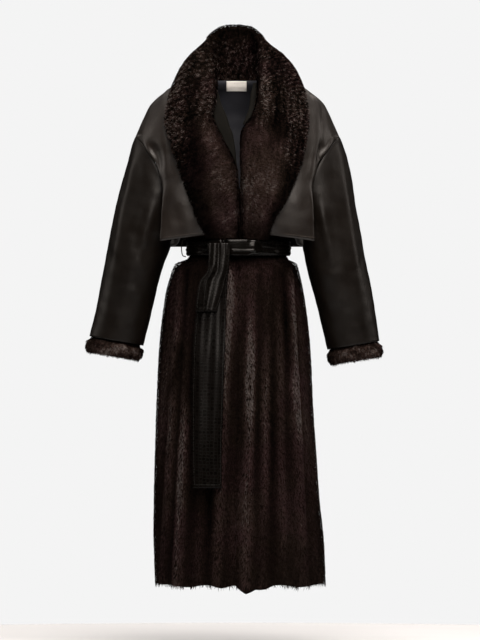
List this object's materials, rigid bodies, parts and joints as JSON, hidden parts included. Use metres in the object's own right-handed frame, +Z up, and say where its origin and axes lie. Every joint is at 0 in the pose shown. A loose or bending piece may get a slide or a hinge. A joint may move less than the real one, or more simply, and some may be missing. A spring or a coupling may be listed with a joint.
{
  "type": "faux fur coat",
  "caption": "Long dark brown faux fur coat with a wide shawl collar, a cropped smooth leather layer with long sleeves, fur cuffs and a tied embossed sash belt, filled out and open inside.",
  "frame": {"origin": "on the centre line, inside the neck opening, at the height of the back neck seam, where the wearer's neck and shoulders hold the coat", "axes": "+Z up, -Y towards the front of the coat, +X towards the right as seen from the front"},
  "size_m": [0.7451, 0.3731, 1.4232],
  "materials": {
    "faux_fur": "dark brown faux fur with a lay of soft locks and lighter reddish tips",
    "smooth_leather": "smooth black-brown leather with a satin sheen",
    "embossed_leather": "glossy black leather embossed with rows of small rectangular scales",
    "satin": "black satin",
    "woven_label": "white woven label, blank",
    "thread": "twisted dark brown thread"
  },
  "bodies": {
    "root": {"front_left": "faux_fur", "front_right": "faux_fur", "back": "faux_fur", "collar_left": "faux_fur", "collar_right": "faux_fur", "cuff_left": "faux_fur", "cuff_right": "faux_fur", "leather_front_left": "smooth_leather", "leather_front_right": "smooth_leather", "leather_back": "smooth_leather", "sleeve_left": "smooth_leather", "sleeve_right": "smooth_leather", "facing_left": "satin", "facing_right": "satin", "back_lining": "satin", "neck_label": "woven_label", "belt_wrap": "embossed_leather", "belt_knot": "embossed_leather", "belt_short_end": "embossed_leather", "belt_long_end": "embossed_leather", "belt_loop_left": "thread"}
  },
  "joints": []
}
